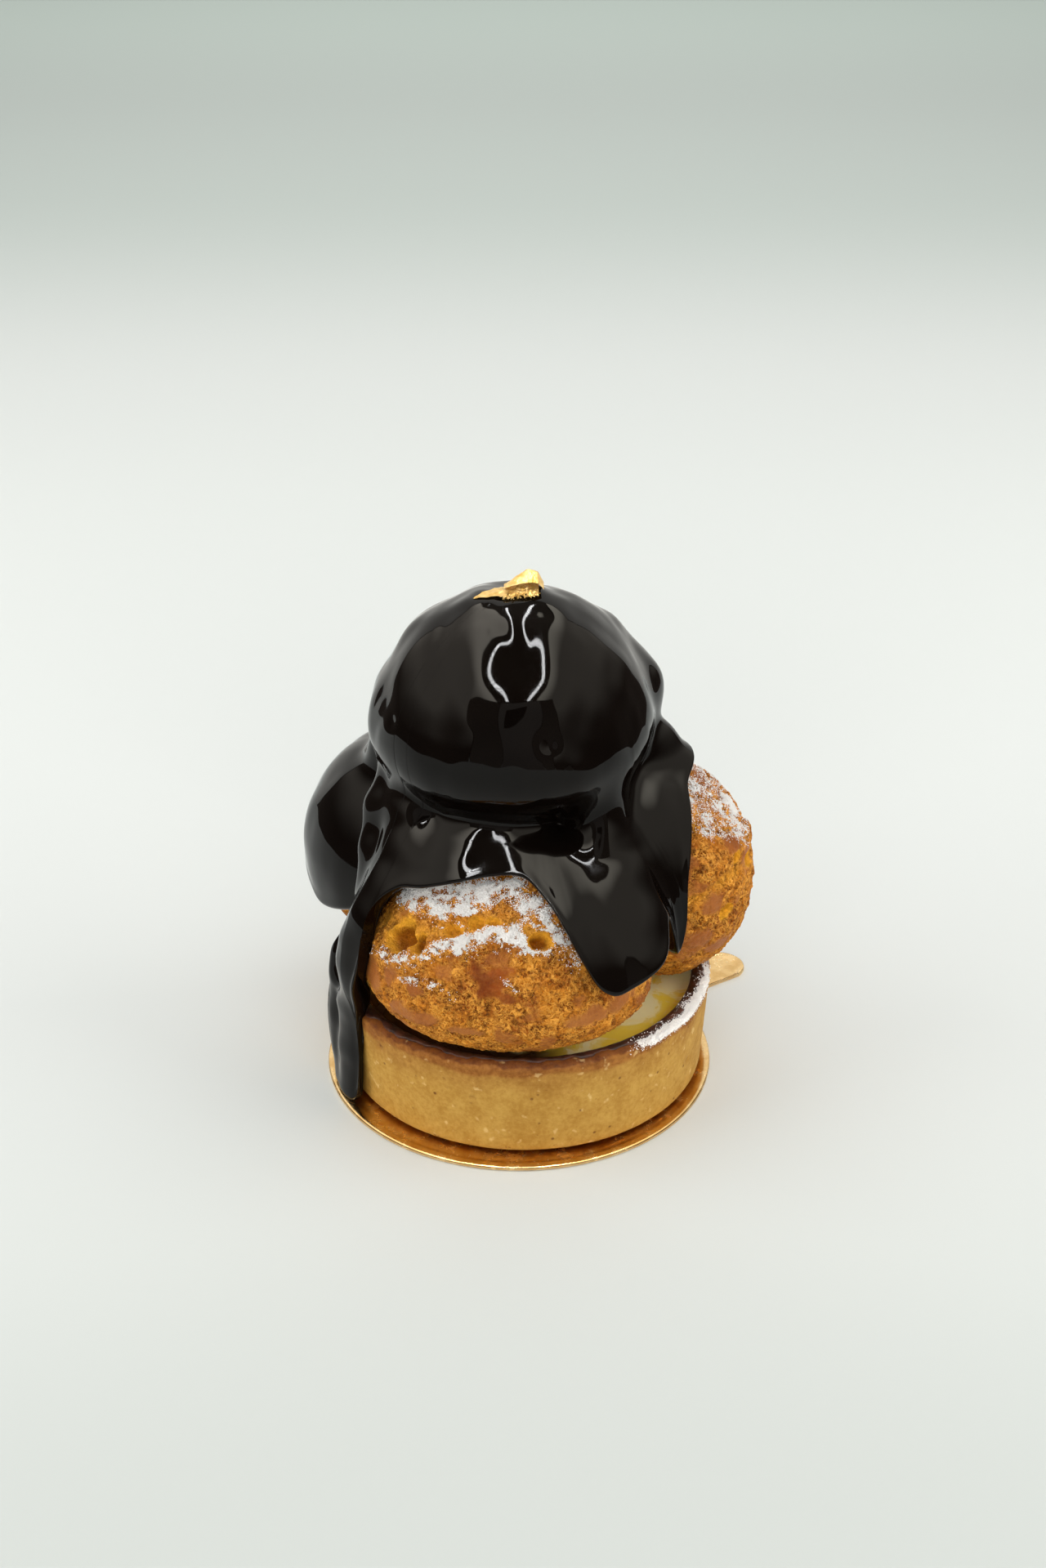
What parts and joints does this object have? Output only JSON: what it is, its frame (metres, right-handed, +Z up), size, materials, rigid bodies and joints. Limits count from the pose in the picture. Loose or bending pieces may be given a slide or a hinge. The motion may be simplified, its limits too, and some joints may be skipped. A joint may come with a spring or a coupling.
{
  "type": "profiterole tower on a custard tart",
  "caption": "Choux buns stacked on a small custard tart, with dark chocolate sauce poured over them, gold leaf on the peak and a round gold card underneath.",
  "frame": {"origin": "middle of the underside of the round card, on the table", "axes": "+Z up, +Y towards the back, +X towards the bun that is only half covered by sauce"},
  "size_m": [0.0926, 0.0781, 0.1096],
  "materials": {
    "gold_card": "metallic gold foil on board, mirror-like",
    "shortcrust": "baked sweet shortcrust, matt, browner towards the rim",
    "custard": "pale vanilla custard, soft sheen",
    "choux": "baked choux crust, golden brown, rough, dusted with icing sugar",
    "chocolate": "dark chocolate glaze, wet gloss",
    "gold_leaf": "crumpled edible gold leaf"
  },
  "bodies": {
    "root": {"gold_card": "gold_card", "tart_shell": "shortcrust", "custard_filling": "custard", "choux_front": "choux", "choux_right": "choux", "choux_left": "choux", "choux_top": "choux", "chocolate_glaze": "chocolate", "gold_leaf": "gold_leaf"}
  },
  "joints": []
}
